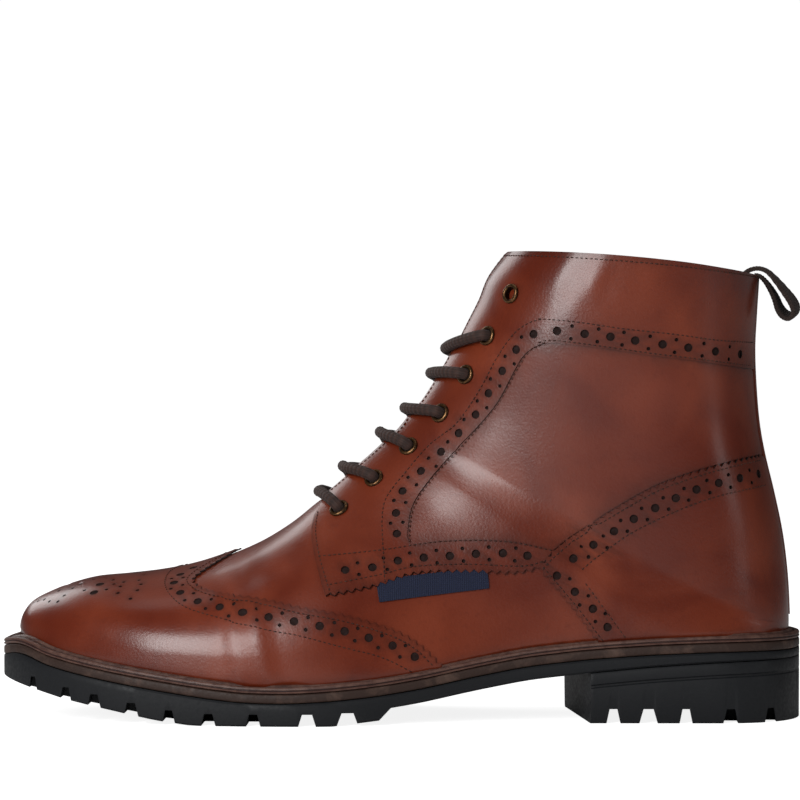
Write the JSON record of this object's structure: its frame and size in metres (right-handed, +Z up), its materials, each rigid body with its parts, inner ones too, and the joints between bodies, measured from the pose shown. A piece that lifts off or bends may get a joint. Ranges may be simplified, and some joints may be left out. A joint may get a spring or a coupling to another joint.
{
  "type": "brogue boot",
  "caption": "Left lace-up ankle boot in brogued leather, with a wing tip, open lacing, a pull loop and a lugged rubber sole.",
  "frame": {"origin": "centre of the bounding box at the floor", "axes": "+X from toe to heel along the sole, -Y towards the outer side, +Z up from the floor"},
  "size_m": [0.31, 0.1088, 0.18],
  "materials": {
    "cognac_leather": "burnished, semi gloss",
    "lining_leather": "matt lining",
    "welt_leather": "stained edge",
    "midsole_brown": "matt",
    "black_rubber": "matt",
    "dark_webbing": "ribbed webbing",
    "navy_tape": "woven",
    "antique_brass": "antique",
    "lace_cord": "waxed round cord"
  },
  "bodies": {
    "root": {"upper": "cognac_leather", "wing_tip": "cognac_leather", "facing_lateral": "cognac_leather", "facing_medial": "cognac_leather", "quarter_lateral": "cognac_leather", "quarter_medial": "cognac_leather", "counter_lateral": "cognac_leather", "counter_medial": "cognac_leather", "tongue": "cognac_leather", "insole": "lining_leather", "welt": "welt_leather", "midsole": "midsole_brown", "outsole": "black_rubber", "heel": "black_rubber", "back_strip": "dark_webbing", "pull_loop": "dark_webbing", "side_tab": "navy_tape", "eyelet_lateral_1": "antique_brass", "eyelet_lateral_2": "antique_brass", "eyelet_lateral_3": "antique_brass", "eyelet_lateral_4": "antique_brass", "eyelet_lateral_5": "antique_brass", "eyelet_lateral_6": "antique_brass", "eyelet_lateral_7": "antique_brass", "eyelet_medial_1": "antique_brass", "eyelet_medial_2": "antique_brass", "eyelet_medial_3": "antique_brass", "eyelet_medial_4": "antique_brass", "eyelet_medial_5": "antique_brass", "eyelet_medial_6": "antique_brass", "eyelet_medial_7": "antique_brass", "lace_1": "lace_cord", "lace_2": "lace_cord", "lace_3": "lace_cord", "lace_4": "lace_cord", "lace_5": "lace_cord", "lace_6": "lace_cord"}
  },
  "joints": []
}
